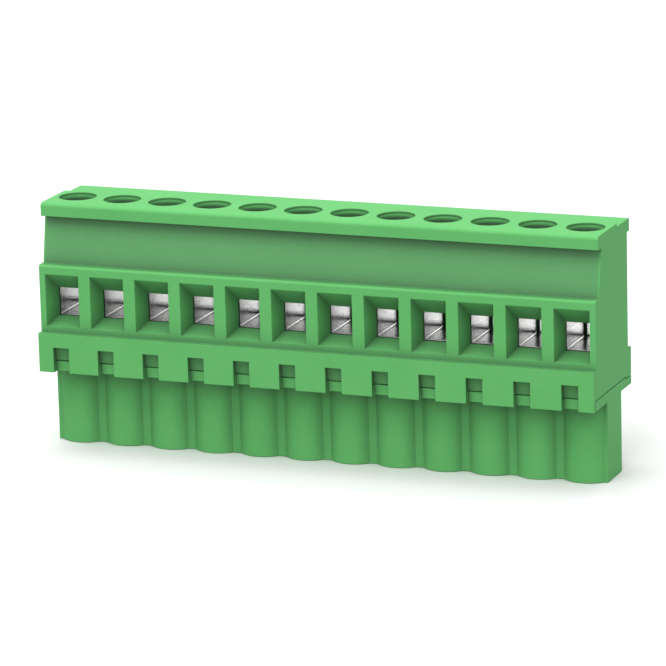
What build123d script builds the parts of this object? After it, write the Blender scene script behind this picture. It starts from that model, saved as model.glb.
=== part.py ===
from build123d import *
import os

os.makedirs("parts", exist_ok=True)

# Pluggable terminal block, twelve poles, screws driven from above, wires from
# the front (-Y), header pins from below.  X runs along the row.  The origin
# sits in the middle of the underside of the contact tower.

# Driving sizes of the row
pitch = 5.08
poles = 12
row_length = poles * pitch
first_x = -(poles - 1) / 2 * pitch

# Heights, from the underside of the tower up
tower_height = 8.4
flange_thickness = 1.15
skirt_height = 4.15
block_height = 7.15
panel_height = 5.0
lip_height = 1.4
rear_top_drop = 0.32
rear_lip_height = 1.3
seam = 0.12
seam_step = 0.2

skirt_bottom = tower_height
split_z = tower_height + flange_thickness
skirt_top = skirt_bottom + skirt_height
shoulder_z = skirt_top + block_height
lip_bottom = shoulder_z + panel_height
top_z = lip_bottom + lip_height
rear_top_z = top_z - rear_top_drop
rear_lip_bottom = rear_top_z - rear_lip_height

# Depths, from the middle plane of the tower
block_front = -5.75
skirt_proud = 0.85
skirt_wall = 0.55
shoulder_depth = 1.2
panel_lean = 0.9
lip_proud = 1.08
step_back = 1.37
wall_back = 4.7
rear_lip_proud = 0.75
rear_band_proud = 1.0
rear_band_height = 3.9
seam_step_y = 3.9
lip_round = 0.4
shoulder_round = 0.3

skirt_front = block_front - skirt_proud
flange_front = skirt_front + skirt_wall
panel_bottom = block_front + shoulder_depth
panel_top = panel_bottom + panel_lean
lip_front = panel_top - lip_proud
rear_lip = wall_back + rear_lip_proud
rear_band = wall_back + rear_band_proud
rear_band_top = skirt_bottom + rear_band_height

# Screws: M2.5, their heads guided by the driver holes
screw_y = -0.84
driver_hole_radius = 1.905
rim_chamfer = 0.12
head_radius = 1.83
head_height = 1.9
head_sink = 2.0
shank_radius = 1.25
shank_length = 4.4
slot_width = 0.7
slot_depth = 0.9
head_top = top_z - head_sink
head_bottom = head_top - head_height

# Rising cage clamp, drawn fully open, and the contact bar inside it
cage_inner = 1.35
cage_wall = 0.38
cage_bend = 0.22
cage_ahead = 2.4
cage_behind = 3.14
cage_roof = 1.5
cage_floor = 0.8
cage_opening = 3.97
cage_travel = 2.5
cage_gap = 0.1
thread_gap = 0.05
cage_outer = cage_inner + cage_wall
cage_front = screw_y - cage_ahead
cage_back = screw_y + cage_behind

bar_thickness = 0.8
bar_setback = 0.2
bar_half_width = cage_inner - cage_gap
bar_top = head_bottom - shank_length
bar_bottom = bar_top - bar_thickness
riser_half_width = 1.12
riser_thickness = 0.5
riser_gap = 0.34
riser_front = cage_back + riser_gap
riser_back = riser_front + riser_thickness

cage_roof_bottom = bar_top + cage_gap
cage_roof_top = cage_roof_bottom + cage_roof
cage_floor_top = cage_roof_bottom - cage_opening
cage_floor_bottom = cage_floor_top - cage_floor

# Cavity round the cage, and the wire funnel in front of it
head_room = 0.2
cage_setback = 0.2
riser_room = 0.6
cavity_half_width = 2.05
cavity_front = cage_front - cage_setback
cavity_back = riser_back + riser_room
cavity_top = cage_roof_top + cage_travel + head_room
funnel_width = 3.78
funnel_top = 18.73
funnel_bottom = 13.12
window_width = 2.78
window_below_bar = 0.16
window_below_floor = 0.08
window_top = bar_bottom - window_below_bar
window_bottom = cage_floor_top - window_below_floor

# Notches in the skirt, one under each pole
notch_width = 1.78
notch_height = 2.68
notch_depth = 0.9
notch_top_depth = 0.6

# Deck of the contact housing, held in a pocket of the clamp housing
deck_gap = 0.1
deck_height = 1.8
deck_end_wall = 1.0
deck_top = split_z - seam + deck_height
deck_half_length = row_length / 2 - deck_end_wall - deck_gap
pocket_half_length = row_length / 2 - deck_end_wall

# Tower and the half-round bosses on its front
tower_half_depth = 2.29
land_width = 0.86
boss_rise = 0.9
boss_half_chord = (pitch - land_width) / 2

# Spring sockets for 1 mm square header pins
sleeve_half_width = 1.3
sleeve_half_depth = 1.15
sleeve_wall = 0.35
sleeve_gap = 0.15
sleeve_bottom = 1.1
sleeve_rise = 0.9
sleeve_top = skirt_bottom + sleeve_rise
foot_z = sleeve_top - sleeve_wall
leaf_root = sleeve_half_depth - sleeve_wall
leaf_half_width = 0.6
leaf_thickness = 0.25
leaf_pinch = 0.45
leaf_pinch_z = 4.1
leaf_flare = 0.62
leaf_flare_z = 2.0
pin_entry = 1.5
pin_leadin = 0.4
socket_half_width = sleeve_half_width + sleeve_gap
socket_half_depth = sleeve_half_depth + sleeve_gap
socket_back = riser_back + sleeve_gap

# Cutters reach this far past a face, and edges are picked within this distance
overcut = 0.1
near = 0.01
pole_x = [first_x + i * pitch for i in range(poles)]
row_centres = [(x, 0) for x in pole_x]
screw_centres = [(x, screw_y) for x in pole_x]
cavity_centres = [(x, (cavity_front + cavity_back) / 2) for x in pole_x]
cavity_depth = cavity_back - cavity_front

# Space of one wire funnel: wide at the front, narrowing to the cage window
with BuildPart() as funnel:
    with BuildSketch(Plane.YZ.offset(-funnel_width / 2)):
        with BuildLine():
            Polyline(
                (block_front, funnel_bottom),
                (block_front, funnel_top),
                (cavity_front, window_top),
                (cavity_front, window_bottom),
                close=True,
            )
        make_face()
    extrude(amount=funnel_width)
    with BuildSketch(Plane.XY.offset(funnel_bottom)):
        with BuildLine():
            Polyline(
                (-funnel_width / 2, block_front),
                (funnel_width / 2, block_front),
                (window_width / 2, cavity_front),
                (-window_width / 2, cavity_front),
                close=True,
            )
        make_face()
    extrude(amount=funnel_top - funnel_bottom, mode=Mode.INTERSECT)

# Clamp housing: one moulded profile along the row, then cut away
with BuildPart() as clamp_housing:
    with BuildSketch(Plane.YZ.offset(-row_length / 2)):
        with BuildLine():
            Polyline(
                (skirt_front, skirt_bottom),
                (skirt_front, skirt_top),
                (block_front, skirt_top),
                (block_front, shoulder_z),
                (panel_bottom, shoulder_z),
                (panel_top, lip_bottom),
                (lip_front, lip_bottom),
                (lip_front, top_z),
                (step_back, top_z),
                (step_back, rear_top_z),
                (rear_lip, rear_top_z),
                (rear_lip, rear_lip_bottom),
                (wall_back, rear_lip_bottom),
                (wall_back, rear_band_top),
                (rear_band, rear_band_top),
                (rear_band, split_z - seam_step),
                (seam_step_y, split_z - seam_step),
                (seam_step_y, split_z),
                (flange_front - seam, split_z),
                (flange_front - seam, skirt_bottom),
                close=True,
            )
        make_face()
    extrude(amount=row_length)
    # rounded lip edge and rounded shoulder of the wire block
    along = clamp_housing.edges().filter_by(Axis.X)
    at_top = along.filter_by_position(Axis.Z, top_z - near, top_z + near)
    fillet(at_top.sort_by(Axis.Y)[0], radius=lip_round)
    along = clamp_housing.edges().filter_by(Axis.X)
    at_shoulder = along.filter_by_position(Axis.Z, shoulder_z - near, shoulder_z + near)
    fillet(at_shoulder.sort_by(Axis.Y)[0], radius=shoulder_round)
    # driver holes, which also guide the screw heads, with a small lead-in
    with BuildSketch(Plane.XY.offset(cavity_top - overcut)):
        with Locations(*screw_centres):
            Circle(driver_hole_radius)
    extrude(amount=top_z - cavity_top + overcut, mode=Mode.SUBTRACT)
    rims = clamp_housing.edges().filter_by(GeomType.CIRCLE)
    chamfer(rims.filter_by_position(Axis.Z, top_z - near, top_z + near), length=rim_chamfer)
    # cage cavities, open downwards
    with BuildSketch(Plane.XY.offset(split_z - overcut)):
        with Locations(*cavity_centres):
            Rectangle(2 * cavity_half_width, cavity_depth)
    extrude(amount=cavity_top - split_z + overcut, mode=Mode.SUBTRACT)
    # pocket for the deck of the contact housing
    with BuildSketch(Plane.XY.offset(split_z - overcut)):
        with Locations((0, (cavity_front + cavity_back) / 2)):
            Rectangle(2 * pocket_half_length, cavity_depth)
    extrude(amount=deck_top - split_z + overcut, mode=Mode.SUBTRACT)
    with Locations(*[(x, 0, 0) for x in pole_x]):
        add(funnel.part, mode=Mode.SUBTRACT)
    # skirt notches, whose back leans out from the seam to the notch's roof
    for x in pole_x:
        with BuildSketch(Plane.YZ.offset(x - notch_width / 2)):
            with BuildLine():
                Polyline(
                    (skirt_front - overcut, skirt_bottom - overcut),
                    (skirt_front - overcut, skirt_bottom + notch_height),
                    (skirt_front + notch_top_depth, skirt_bottom + notch_height),
                    (skirt_front + notch_depth, split_z),
                    (skirt_front + notch_depth, skirt_bottom - overcut),
                    close=True,
                )
            make_face()
    extrude(amount=notch_width, mode=Mode.SUBTRACT)
clamp_housing.part.label = "clamp_housing"
export_step(clamp_housing.part, "parts/clamp_housing.step")

# Contact housing: flange, deck and tower in one moulding
with BuildPart() as contact_housing:
    with BuildSketch(Plane.XY):
        Rectangle(row_length, 2 * tower_half_depth)
    extrude(amount=tower_height)
    with BuildSketch(Plane.YZ.offset(-row_length / 2)):
        with BuildLine():
            Polyline(
                (flange_front, skirt_bottom),
                (flange_front, split_z - seam),
                (seam_step_y - seam, split_z - seam),
                (seam_step_y - seam, split_z - seam_step - seam),
                (rear_band, split_z - seam_step - seam),
                (rear_band, skirt_bottom),
                close=True,
            )
        make_face()
    extrude(amount=row_length)
    # half-round bosses
    for x in pole_x:
        with BuildSketch(Plane.XY):
            with BuildLine():
                ThreePointArc(
                    (x - boss_half_chord, -tower_half_depth),
                    (x, -tower_half_depth - boss_rise),
                    (x + boss_half_chord, -tower_half_depth),
                )
                Line(
                    (x + boss_half_chord, -tower_half_depth),
                    (x - boss_half_chord, -tower_half_depth),
                )
            make_face()
    extrude(amount=tower_height)
    # the flange steps back behind each skirt notch
    step_depth = skirt_front + notch_depth - flange_front
    with BuildSketch(Plane.XY.offset(skirt_bottom)):
        with Locations(*[(x, flange_front + step_depth / 2) for x in pole_x]):
            Rectangle(notch_width, step_depth)
    extrude(amount=flange_thickness, mode=Mode.SUBTRACT)
    # deck that stands in the pocket of the clamp housing
    with BuildSketch(Plane.XY.offset(split_z - seam_step - seam)):
        with Locations((0, (cavity_front + cavity_back) / 2)):
            Rectangle(2 * deck_half_length, cavity_depth - 2 * deck_gap)
    extrude(amount=deck_height + seam_step)
    # socket chambers in the tower
    with BuildSketch(Plane.XY.offset(sleeve_bottom - overcut)):
        with Locations(*row_centres):
            Rectangle(2 * socket_half_width, 2 * socket_half_depth)
    extrude(amount=deck_top, mode=Mode.SUBTRACT)
    # room for the foot and riser of each contact
    room_y = (socket_back - socket_half_depth) / 2
    with BuildSketch(Plane.XY.offset(foot_z)):
        with Locations(*[(x, room_y) for x in pole_x]):
            Rectangle(2 * socket_half_width, socket_back + socket_half_depth)
    extrude(amount=deck_top, mode=Mode.SUBTRACT)
    # square pin entries with a lead-in
    with BuildSketch(Plane.XY):
        with Locations(*row_centres):
            Rectangle(pin_entry, pin_entry)
    extrude(amount=sleeve_bottom, mode=Mode.SUBTRACT)
    underside = contact_housing.edges().filter_by_position(Axis.Z, -near, near)
    chamfer(underside.filter_by(lambda edge: abs(edge.length - pin_entry) < near), length=pin_leadin)
contact_housing.part.label = "contact_housing"
export_step(contact_housing.part, "parts/contact_housing.step")

# Clamp screws: slotted head, plain shank standing in for the thread
for i, x in enumerate(pole_x):
    with BuildPart() as screw:
        with BuildSketch(Plane.XY.offset(head_bottom)):
            with Locations((x, screw_y)):
                Circle(head_radius)
        extrude(amount=head_height)
        with BuildSketch(Plane.XY.offset(head_top - slot_depth)):
            with Locations((x, screw_y)):
                Rectangle(2 * head_radius + overcut, slot_width)
        extrude(amount=slot_depth, mode=Mode.SUBTRACT)
        with BuildSketch(Plane.XY.offset(bar_top)):
            with Locations((x, screw_y)):
                Circle(shank_radius)
        extrude(amount=shank_length)
    name = f"clamp_screw_{i + 1:02d}"
    screw.part.label = name
    export_step(screw.part, f"parts/{name}.step")

# Cages: a folded square sleeve with a tapped roof
for i, x in enumerate(pole_x):
    with BuildPart() as cage:
        with BuildSketch(Plane.XZ.offset(-cage_back)):
            with Locations((x, (cage_roof_top + cage_floor_bottom) / 2)):
                Rectangle(2 * cage_outer, cage_roof_top - cage_floor_bottom)
            with Locations((x, (cage_roof_bottom + cage_floor_top) / 2)):
                Rectangle(2 * cage_inner, cage_opening, mode=Mode.SUBTRACT)
        extrude(amount=cage_ahead + cage_behind)
        # bend between the walls and the floor
        bends = cage.edges().filter_by(Axis.Y)
        on_floor = bends.filter_by_position(Axis.Z, cage_floor_top - near, cage_floor_top + near)
        fillet(on_floor, radius=cage_bend)
        with BuildSketch(Plane.XY.offset(cage_roof_bottom)):
            with Locations((x, screw_y)):
                Circle(shank_radius + thread_gap)
        extrude(amount=cage_roof, mode=Mode.SUBTRACT)
    name = f"clamp_cage_{i + 1:02d}"
    cage.part.label = name
    export_step(cage.part, f"parts/{name}.step")

# Contacts: bar under the screw, riser behind the cage, foot and spring socket
bar_front = cage_front + bar_setback
foot_y = (riser_back - sleeve_half_depth) / 2
for i, x in enumerate(pole_x):
    with BuildPart() as contact:
        with BuildSketch(Plane.XY.offset(bar_bottom)):
            with Locations((x, (bar_front + riser_back) / 2)):
                Rectangle(2 * bar_half_width, riser_back - bar_front)
        extrude(amount=bar_thickness)
        with BuildSketch(Plane.XY.offset(foot_z)):
            with Locations((x, (riser_front + riser_back) / 2)):
                Rectangle(2 * riser_half_width, riser_thickness)
        extrude(amount=bar_top - foot_z)
        with BuildSketch(Plane.XY.offset(sleeve_bottom)):
            with Locations((x, 0)):
                Rectangle(2 * sleeve_half_width, 2 * sleeve_half_depth)
                Rectangle(
                    2 * (sleeve_half_width - sleeve_wall),
                    2 * (sleeve_half_depth - sleeve_wall),
                    mode=Mode.SUBTRACT,
                )
        extrude(amount=sleeve_top - sleeve_bottom)
        with BuildSketch(Plane.XY.offset(foot_z)):
            with Locations((x, foot_y)):
                Rectangle(2 * sleeve_half_width, riser_back + sleeve_half_depth)
        extrude(amount=sleeve_wall)
        # two spring leaves that close on the pin
        with BuildSketch(Plane.YZ.offset(x - leaf_half_width)):
            with BuildLine():
                Polyline(
                    (leaf_root, foot_z),
                    (leaf_pinch, leaf_pinch_z),
                    (leaf_flare, leaf_flare_z),
                    (leaf_flare + leaf_thickness, leaf_flare_z),
                    (leaf_pinch + leaf_thickness, leaf_pinch_z),
                    (leaf_root + leaf_thickness, foot_z),
                    close=True,
                )
            make_face()
            mirror(about=Plane.YZ)
        extrude(amount=2 * leaf_half_width)
    name = f"pin_contact_{i + 1:02d}"
    contact.part.label = name
    export_step(contact.part, f"parts/{name}.step")
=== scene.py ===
import math

import bmesh
import bpy
from mathutils import Matrix, Vector

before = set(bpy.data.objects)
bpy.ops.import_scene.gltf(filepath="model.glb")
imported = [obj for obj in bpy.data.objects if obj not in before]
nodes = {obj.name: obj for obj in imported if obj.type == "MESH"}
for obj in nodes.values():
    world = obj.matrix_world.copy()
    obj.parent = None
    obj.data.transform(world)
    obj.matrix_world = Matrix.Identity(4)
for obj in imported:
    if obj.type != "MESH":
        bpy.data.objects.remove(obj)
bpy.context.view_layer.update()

# Green mouldings. The clamp housing and the contact housing are both shot in
# polyamide 66, coloured right through, and the upper one snaps down over the
# lower. The spark-eroded tool leaves a fine grain and a faint flow in the gloss.

polyamide_green = (0.138, 0.505, 0.154, 1)
polyamide_pale = (0.147, 0.525, 0.164, 1)
polyamide_deep = (0.128, 0.485, 0.144, 1)
polyamide_roughness = 0.56
polyamide_index = 1.53
polyamide_sheen = 0.08
cloud_scale = 140
flow_scale = 900
flow_stretch = (0.25, 1, 1)
grain_scale = 9000
grain_strength = 0.6
grain_depth = 0.000011
fleck_scale = 26000
speckle_plain = 0.7
speckle_band = 1.3
edge_round = 0.00007

pole_pitch = 0.00508
poles = 12
hole_y = -0.00084

band_low = 0.0197
band_high = 0.0247
band_front = -0.0035
band_end = 0.0303
# painted shade: the set-back band under the lip is made darker and greyer
band_shade_tone = (0.96, 0.78, 0.96, 1)

# painted shade: a thin dark ring at each driver hole's rim, and a painted shadow in the bore
# below its mouth
rim_outer = 0.00199
rim_low = 0.02588
rim_shade_tone = (0.4, 0.36, 0.4, 1)
bore_radius = 0.00193
bore_foot = 0.0197
bore_shadow_top = 0.02565
bore_shadow_fade = 0.0002
bore_shadow_tone = (0.62, 0.5, 0.62, 1)

# painted shade in recesses and under overhangs, left off near the top
recess_reach = 0.003
recess_shade_tone = (0.6, 0.36, 0.58, 1)
plain_tone = (1, 1, 1, 1)
top_low = 0.02545
top_fade = 0.0003


class Wire:
    """One socket of a material; arithmetic on wires adds the Math nodes."""

    def __init__(self, tree, socket=None):
        self.tree = tree
        self.socket = socket

    def node(self, kind, settings=None, sockets=None, out=0):
        """Adds a node: its settings first, then the values or wires of its sockets."""
        made = self.tree.nodes.new("ShaderNode" + kind)
        for name, value in (settings or {}).items():
            if name == "stops":
                ramp = made.color_ramp.elements
                while len(ramp) < len(value):
                    ramp.new(0.5)
                for stop, (place, shade) in zip(ramp, value):
                    stop.position = place
                    stop.color = shade
            else:
                setattr(made, name, value)
        for name, value in (sockets or {}).items():
            if isinstance(value, Wire):
                self.tree.links.new(value.socket, made.inputs[name])
            else:
                made.inputs[name].default_value = value
        return Wire(self.tree, made.outputs[out] if made.outputs else None)

    def math(self, operation, *values):
        return self.node("Math", {"operation": operation}, dict(enumerate(values)))

    def below(self, limit):
        return self.math("LESS_THAN", self, limit)

    def above(self, limit):
        return self.math("GREATER_THAN", self, limit)

    def at_least(self, other):
        return self.math("MAXIMUM", self, other)

    def at_most(self, other):
        return self.math("MINIMUM", self, other)

    def part(self, axis):
        """One of the three numbers of a place or a direction."""
        return self.node("SeparateXYZ", sockets={"Vector": self}, out=axis)

    def mixed(self, low, high):
        """A colour from low, where this wire is 0, to high, where it is 1."""
        return self.node("Mix", {"data_type": "RGBA"}, {0: self, 6: low, 7: high}, out=2)

    def dyed(self, mask, tone):
        """This colour multiplied by tone where mask is 1."""
        return self.node(
            "Mix",
            {"data_type": "RGBA", "blend_type": "MULTIPLY"},
            {0: mask, 6: self, 7: tone},
            out=2,
        )

    def __add__(self, other):
        return self.math("ADD", self, other)

    def __sub__(self, other):
        return self.math("SUBTRACT", self, other)

    def __mul__(self, other):
        return self.math("MULTIPLY", self, other)

    def __truediv__(self, other):
        return self.math("DIVIDE", self, other)

    def __radd__(self, other):
        return self.math("ADD", other, self)

    def __rsub__(self, other):
        return self.math("SUBTRACT", other, self)

    def __rmul__(self, other):
        return self.math("MULTIPLY", other, self)


def new_finish(name):
    """An empty material and the first wire of its tree."""
    finish = bpy.data.materials.new(name)
    finish.use_nodes = True
    finish.node_tree.nodes.clear()
    return finish, Wire(finish.node_tree)


def skin(start, sockets):
    """Ends a tree in a Principled surface with these values and wires."""
    shell = start.node("BsdfPrincipled", sockets=sockets)
    start.node("OutputMaterial", sockets={"Surface": shell})


def coat_cad(node_names, finish):
    """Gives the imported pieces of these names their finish."""
    for name in node_names:
        mesh = nodes[name].data
        mesh.materials.clear()
        mesh.materials.append(finish)


def noise(place, scale, detail, rough=0.5):
    """Cloudy noise round 0.5, finer with a larger scale."""
    return place.node(
        "TexNoise",
        sockets={"Vector": place, "Scale": scale, "Detail": detail, "Roughness": rough},
    )


def stretched(place, scale):
    """The same places, with each direction drawn out by a scale below 1."""
    return place.node("Mapping", sockets={"Vector": place, "Scale": scale})


def relief(height, strength, depth, **smooth):
    """A surface that height raises by up to depth."""
    return height.node(
        "Bump",
        sockets={"Strength": strength, "Distance": depth, "Height": height, **smooth},
    )


def openness(start, reach, alone=False):
    """1 where nothing stands within reach of the surface, less in a crease."""
    return start.node(
        "AmbientOcclusion",
        {"samples": 8, "only_local": alone},
        {"Distance": reach},
        out="AO",
    )


def from_pole_axis(place):
    """Distance from the axis of the nearest pole's screw and driver hole."""
    pole = place.part("X") / pole_pitch + poles
    beside = (pole.math("FRACT", pole) - 0.5) * pole_pitch
    behind = place.part("Y") - hole_y
    squared = beside * beside + behind * behind
    return squared.math("SQRT", squared)


def moulded_polyamide(name, alone):
    """Green polyamide with painted shade in its recesses; alone takes that shade from the one
    moulding only.
    """
    finish, start = new_finish(name)
    place = start.node("TexCoord", out="Object")
    cloud = noise(place, cloud_scale, 3, 0.55)
    flow = noise(stretched(place, flow_stretch), flow_scale, 2)
    grain = noise(place, grain_scale, 2, 0.6)
    fleck = noise(place, fleck_scale, 1)
    height = place.part("Z")

    # the set-back band under the lip is textured for marking, and painted darker and greyer as
    # shade from the lip above it
    across = place.part("X")
    band = (
        across.math("ABSOLUTE", across).below(band_end)
        * place.part("Y").below(band_front)
        * height.above(band_low)
        * height.below(band_high)
    )
    speckle = (grain - 0.5) * (speckle_plain + speckle_band * band)
    colour = start.node(
        "ValToRGB",
        {"stops": [(0.3, polyamide_deep), (0.5, polyamide_green), (0.7, polyamide_pale)]},
        {"Fac": cloud * 0.6 + flow * 0.25 + fleck * 0.15 + speckle},
    )

    # each driver hole has a thin ring of painted shade at its rim, and its bore is painted darker
    # below the mouth as the shadow of the rim
    radius = from_pole_axis(place)
    rim_shade = radius.below(rim_outer) * height.above(rim_low)
    bore_shadow_depth = (bore_shadow_top - height) / bore_shadow_fade
    bore_shadow = radius.below(bore_radius) * height.above(bore_foot) * bore_shadow_depth
    colour = colour.dyed(band, band_shade_tone).dyed(rim_shade, rim_shade_tone).dyed(bore_shadow, bore_shadow_tone)

    # painted shade darkens the plastic in recesses and under overhangs, but not near its top
    inside = openness(start, recess_reach, alone)
    near_top = (height - top_low) / top_fade
    lit = (inside * inside).at_least(near_top)
    colour = colour.dyed(1.0, lit.mixed(recess_shade_tone, plain_tone))

    soft_edge = start.node("Bevel", {"samples": 6}, {"Radius": edge_round})
    skin(start, {
        "Base Color": colour,
        "Roughness": polyamide_roughness + 0.1 * (flow - 0.5) + 0.08 * (grain - 0.5),
        "Normal": relief(grain * 0.7 + flow * 0.3, grain_strength, grain_depth, Normal=soft_edge),
        "IOR": polyamide_index,
        "Specular IOR Level": polyamide_sheen,
    })
    return finish


coat_cad(["clamp_housing"], moulded_polyamide("green_polyamide_upper", False))
coat_cad(["contact_housing"], moulded_polyamide("green_polyamide_lower", True))

# Clamp screws. M2.5 steel with a slotted cheese head, turned, rolled and zinc
# plated, one under each driver hole.

zinc_plate = (0.56, 0.57, 0.59, 1)
zinc_dark = (0.42, 0.43, 0.45, 1)
zinc_slot = (0.05, 0.05, 0.05, 1)
zinc_roughness = 0.34
mottle_scale = 1500
ring_pitch = 0.00011
ring_strength = 0.5
ring_depth = 0.000003
slot_reach = 0.0008
slot_contrast = 1.8


def turned_zinc():
    """Fine turning rings round each screw's own axis."""
    finish, start = new_finish("zinc_plated_steel")
    place = start.node("TexCoord", out="Object")
    radius = from_pole_axis(place)
    rings = radius.math("SINE", radius * (2 * math.pi / ring_pitch)) * 0.5 + 0.5
    mottle = noise(place, mottle_scale, 4, 0.6)
    # the slot and the space under the head are darker, by how enclosed they are
    clean_or_open = 1 - slot_contrast * (1 - openness(start, slot_reach))
    skin(start, {
        "Base Color": clean_or_open.mixed(zinc_slot, mottle.mixed(zinc_dark, zinc_plate)),
        "Metallic": 1.0,
        "Roughness": zinc_roughness + 0.14 * (mottle - 0.5),
        "Normal": relief(rings * 0.6 + mottle * 0.4, ring_strength, ring_depth),
    })
    return finish


coat_cad([n for n in nodes if n.startswith("clamp_screw")], turned_zinc())

# Cages. Steel strip bent into a square sleeve with rounded bends, tapped in its
# roof and nickel plated; each hangs on its screw and rises with it.

nickel_plate = (0.97, 0.97, 0.97, 1)
nickel_dull = (0.62, 0.62, 0.62, 1)
# painted shade with a scuff grain on the cage's floor and front faces
nickel_scuffed_shade = (0.42, 0.42, 0.42, 1)
nickel_roughness = 0.12
strip_stretch = (0.06, 1, 0.06)
strip_scale = 16000
plating_scale = 4500
tarnish_scale = 900
plating_level = 0.88
plating_contrast = 4.5
plating_strength = 0.8
plating_depth = 0.000018
tarnish_contrast = 0.6
scuff_and_shade_from = 0.8
scuff_and_shade_rise = 6
scuff_and_shade_level = 0.75
scuff_and_shade_contrast = 2.5
scuff_roughness = 0.12


def rolled_nickel():
    """Lines of the rolled strip run round the sleeve, under a fine grain of plating."""
    finish, start = new_finish("nickel_plated_strip")
    place = start.node("TexCoord", out="Object")
    lines = noise(stretched(place, strip_stretch), strip_scale, 2)
    grain = noise(place, plating_scale, 3, 0.7)
    tarnish = noise(place, tarnish_scale, 3)
    spotless = (grain - 0.5) * plating_contrast + (tarnish - 0.5) * tarnish_contrast
    clean_or_open = (spotless + plating_level).mixed(nickel_dull, nickel_plate)
    # wires scuff the floor and the front faces are sheared, and both are painted a darker grey as
    # painted shade for their dimmer reflection; walls and bends stay bright
    facing = start.node("NewGeometry", out="Normal")
    level = facing.part("Z").at_least(0 - facing.part("Y"))
    scuffed_and_shaded = ((level - scuff_and_shade_from) * scuff_and_shade_rise).at_most(1).at_least(0)
    scratched_and_shaded = scuffed_and_shaded * (scuff_and_shade_level + (grain - 0.5) * scuff_and_shade_contrast)
    skin(start, {
        "Base Color": scratched_and_shaded.mixed(clean_or_open, nickel_scuffed_shade),
        "Metallic": 1.0,
        "Roughness": (
            nickel_roughness
            + 0.12 * (grain - 0.5)
            + 0.06 * (lines - 0.5)
            + scuff_roughness * scuffed_and_shaded
        ),
        "Normal": relief(grain * 0.7 + lines * 0.3, plating_strength, plating_depth),
    })
    return finish


coat_cad([n for n in nodes if n.startswith("clamp_cage")], rolled_nickel())

# Contacts. Copper alloy strip, stamped and folded, with a matte tin plating:
# the bar under the screw, the riser behind the cage and the spring socket.

tin_bright = (0.98, 0.98, 0.97, 1)
tin_dull = (0.95, 0.95, 0.94, 1)
# painted shade: the plating turns nearly black where the cage's floor comes close
tin_crease_shade = (0.02, 0.02, 0.02, 1)
tin_roughness = 0.26
spangle_scale = 5200
haze_scale = 700
spangle_strength = 0.4
spangle_depth = 0.000003
crease_reach = 0.0007
crease_shade_contrast = 2.5


def matte_tin():
    """Small spangles of tin under a faint haze."""
    finish, start = new_finish("tin_plated_bronze")
    place = start.node("TexCoord", out="Object")
    spangle = start.node("TexVoronoi", sockets={"Vector": place, "Scale": spangle_scale})
    haze = noise(place, haze_scale, 4)
    plated = (haze * 0.7 + spangle * 0.3).mixed(tin_dull, tin_bright)
    # painted shade darkens the plating where the cage's floor comes close
    clean_or_open = 1 - crease_shade_contrast * (1 - openness(start, crease_reach))
    skin(start, {
        "Base Color": clean_or_open.mixed(tin_crease_shade, plated),
        "Metallic": 1.0,
        "Roughness": tin_roughness + 0.08 * (haze - 0.5),
        "Normal": relief(spangle, spangle_strength, spangle_depth),
    })
    return finish


coat_cad([n for n in nodes if n.startswith("pin_contact")], matte_tin())

# Studio floor. One sheet of matt white paper under the plug, a hair below its
# foot. The camera and the metal see it pale; the light that it throws back is dimmer.

floor_half = 0.9
floor_gap = 0.00005
floor_shade = (0.9, 0.9, 0.9, 1)
floor_bounce = (0.28, 0.28, 0.28, 1)


def seen_plainly(start):
    """1 for what the camera, metal or glass sees, 0 for the light on the plug."""
    seen = start.node("LightPath", out="Is Camera Ray")
    for other in ("Is Glossy Ray", "Is Transmission Ray"):
        seen = seen.at_least(start.node("LightPath", out=other))
    return seen


floor_mesh = bpy.data.meshes.new("floor")
sheet = bmesh.new()
bmesh.ops.create_grid(sheet, x_segments=1, y_segments=1, size=floor_half)
sheet.to_mesh(floor_mesh)
sheet.free()
floor = bpy.data.objects.new("floor", floor_mesh)
bpy.context.scene.collection.objects.link(floor)
floor.location.z = -floor_gap

paper, fibre = new_finish("studio_floor")
paper_tone = seen_plainly(fibre).mixed(floor_bounce, floor_shade)
matt = fibre.node("BsdfDiffuse", sockets={"Color": paper_tone})
fibre.node("OutputMaterial", sockets={"Surface": matt})
floor.data.materials.append(paper)

# Studio air. Even white light from all round, which fills the shadows; the
# camera and the metal see it as plain white.

air_white = (1, 1, 1, 1)
air_light = 0.68

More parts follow.
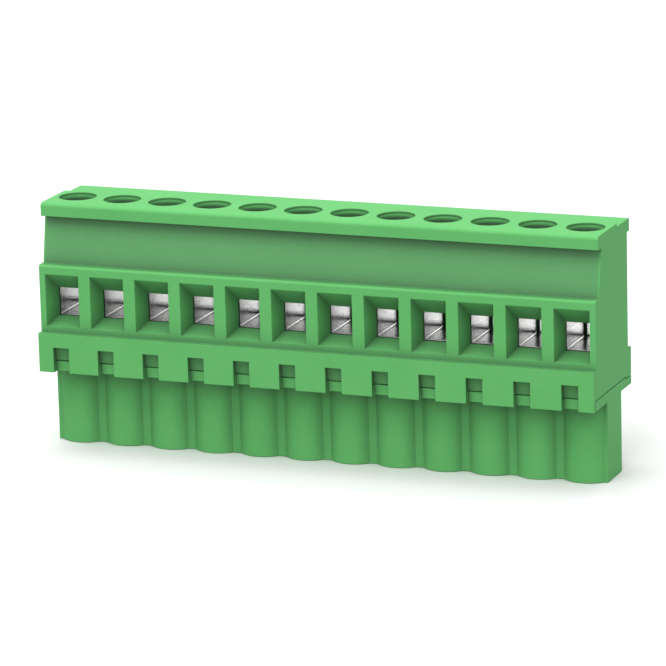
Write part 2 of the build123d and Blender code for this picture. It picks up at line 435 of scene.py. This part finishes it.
world = bpy.data.worlds.new("studio")
bpy.context.scene.world = world
world.use_nodes = True
world.node_tree.nodes.clear()
air = Wire(world.node_tree)
dim = air.node("Background", sockets={"Color": air_white, "Strength": air_light})
white = air.node("Background", sockets={"Color": air_white, "Strength": 1.0})
around = air.node("MixShader", sockets={0: seen_plainly(air), 1: dim, 2: white})
air.node("OutputWorld", sockets={"Surface": around})

# Lamps. Four square softboxes, all turned to the plug: one overhead that the
# bright screw heads don't mirror, two in front and a weak one at the right end.

lamp_aim = Vector((0, 0, 0.013))


def softbox(name, place, size, power, mirrored=True):
    """A square area lamp, left out of the metal's reflections unless mirrored."""
    lamp = bpy.data.lights.new(name, "AREA")
    lamp.shape = "SQUARE"
    lamp.size = size
    lamp.energy = power
    rig = bpy.data.objects.new(name, lamp)
    rig.location = place
    rig.rotation_euler = (lamp_aim - Vector(place)).to_track_quat("-Z", "Y").to_euler()
    rig.visible_glossy = mirrored
    bpy.context.scene.collection.objects.link(rig)


softbox("overhead", (-0.08, 0.1, 0.6), 0.4, 1.45, mirrored=False)
softbox("front_high", (-0.05, -0.36, 0.58), 0.4, 1.9)
softbox("front_low", (0.1, -0.66, 0.2), 0.3, 0.85)
softbox("right_side", (0.65, -0.1, 0.25), 0.3, 0.25)

# Camera. A long lens to the right of the row's front and a little above it,
# held slightly rolled; the slides move it sideways and up without turning it.

view_azimuth = math.radians(21.542)
view_elevation = math.radians(14.236)
view_roll = math.radians(-1.502)
view_distance = 0.47514
slide_right = -0.000295
slide_up = 0.012601
lens = 246.65
sensor = 36

back = Vector((
    math.sin(view_azimuth) * math.cos(view_elevation),
    -math.cos(view_azimuth) * math.cos(view_elevation),
    math.sin(view_elevation),
))
level_right = Vector((0, 0, 1)).cross(back).normalized()
level_up = back.cross(level_right)
right = math.cos(view_roll) * level_right + math.sin(view_roll) * level_up
up = -math.sin(view_roll) * level_right + math.cos(view_roll) * level_up
eye = view_distance * back + slide_right * right + slide_up * up

camera = bpy.data.cameras.new("camera")
camera.lens = lens
camera.sensor_width = sensor
camera.sensor_fit = "HORIZONTAL"
viewer = bpy.data.objects.new("camera", camera)
turned = Matrix((right, up, back)).transposed().to_4x4()
viewer.matrix_world = Matrix.Translation(eye) @ turned
bpy.context.scene.collection.objects.link(viewer)
bpy.context.scene.camera = viewer
bpy.context.scene.view_settings.view_transform = "Standard"
